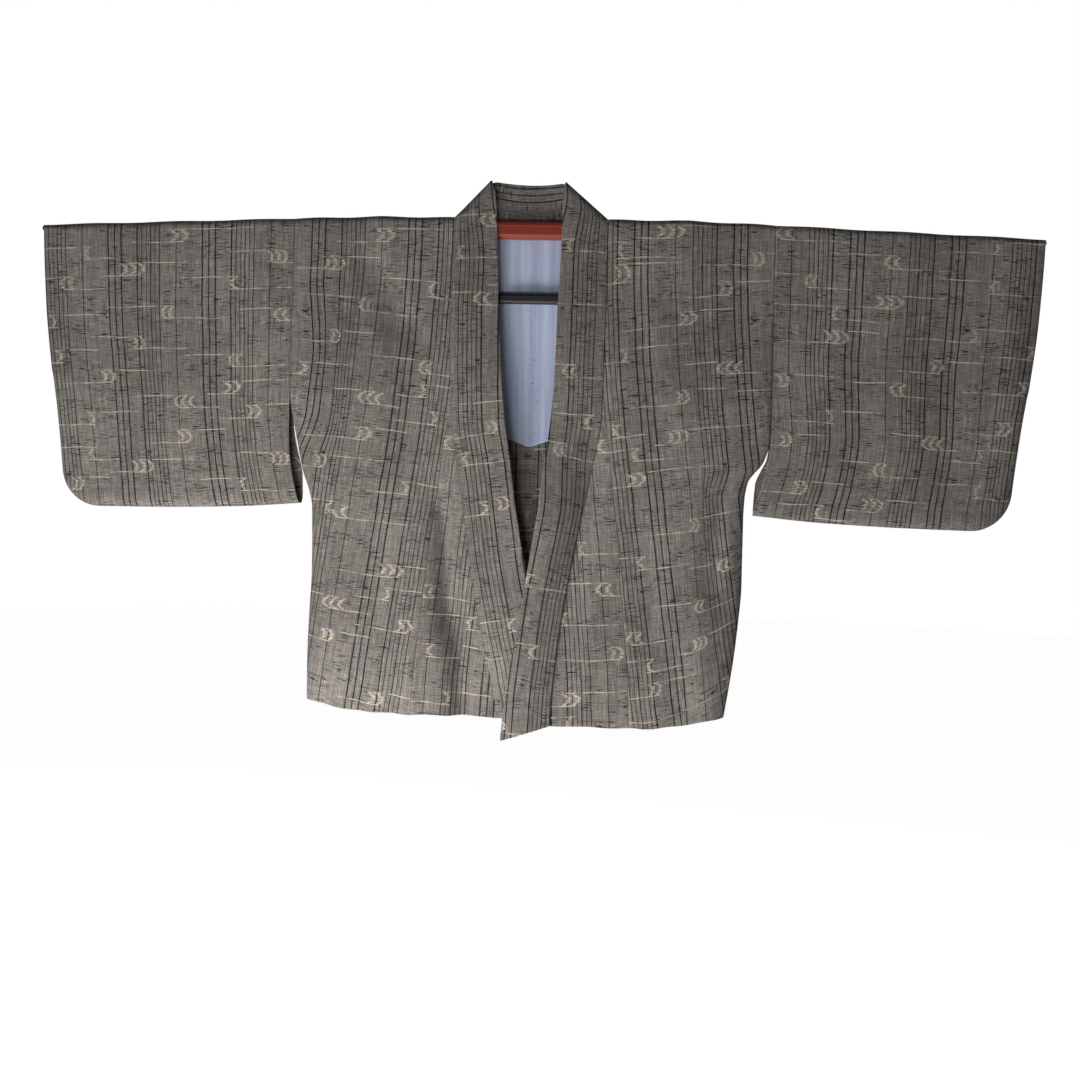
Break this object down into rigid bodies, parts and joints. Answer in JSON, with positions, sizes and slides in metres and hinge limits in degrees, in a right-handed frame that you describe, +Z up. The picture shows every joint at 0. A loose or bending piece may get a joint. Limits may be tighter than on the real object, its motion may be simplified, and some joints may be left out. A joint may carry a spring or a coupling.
{
  "type": "haori jacket on a kimono hanger",
  "caption": "Short wide-sleeved haori jacket of striped cloth, open at the front, hung flat over a two-bar kimono hanger.",
  "frame": {"origin": "middle of the hanger's upper bar, where the hanging jacket is held", "axes": "+X along the bar towards the wearer's left, +Y towards the jacket's back, +Z up"},
  "size_m": [1.284, 0.0475, 0.7107],
  "materials": {
    "striped_cloth": "matt plain weave with dark stripes, cream weft lines and slubs",
    "collar_cloth": "the same striped cloth, doubled",
    "lining_cloth": "thin smooth pale grey-blue lining",
    "red_lacquer": "satin rust-red",
    "black_lacquer": "satin black"
  },
  "bodies": {
    "root": {"body_right": "striped_cloth", "body_left": "striped_cloth", "okumi_right": "striped_cloth", "okumi_left": "striped_cloth", "sleeve_right": "striped_cloth", "sleeve_left": "striped_cloth", "collar": "collar_cloth", "back_lining": "lining_cloth", "hanger_bar": "red_lacquer", "hanger_lower_bar": "black_lacquer", "hanger_link_right": "black_lacquer", "hanger_link_left": "black_lacquer"}
  },
  "joints": []
}
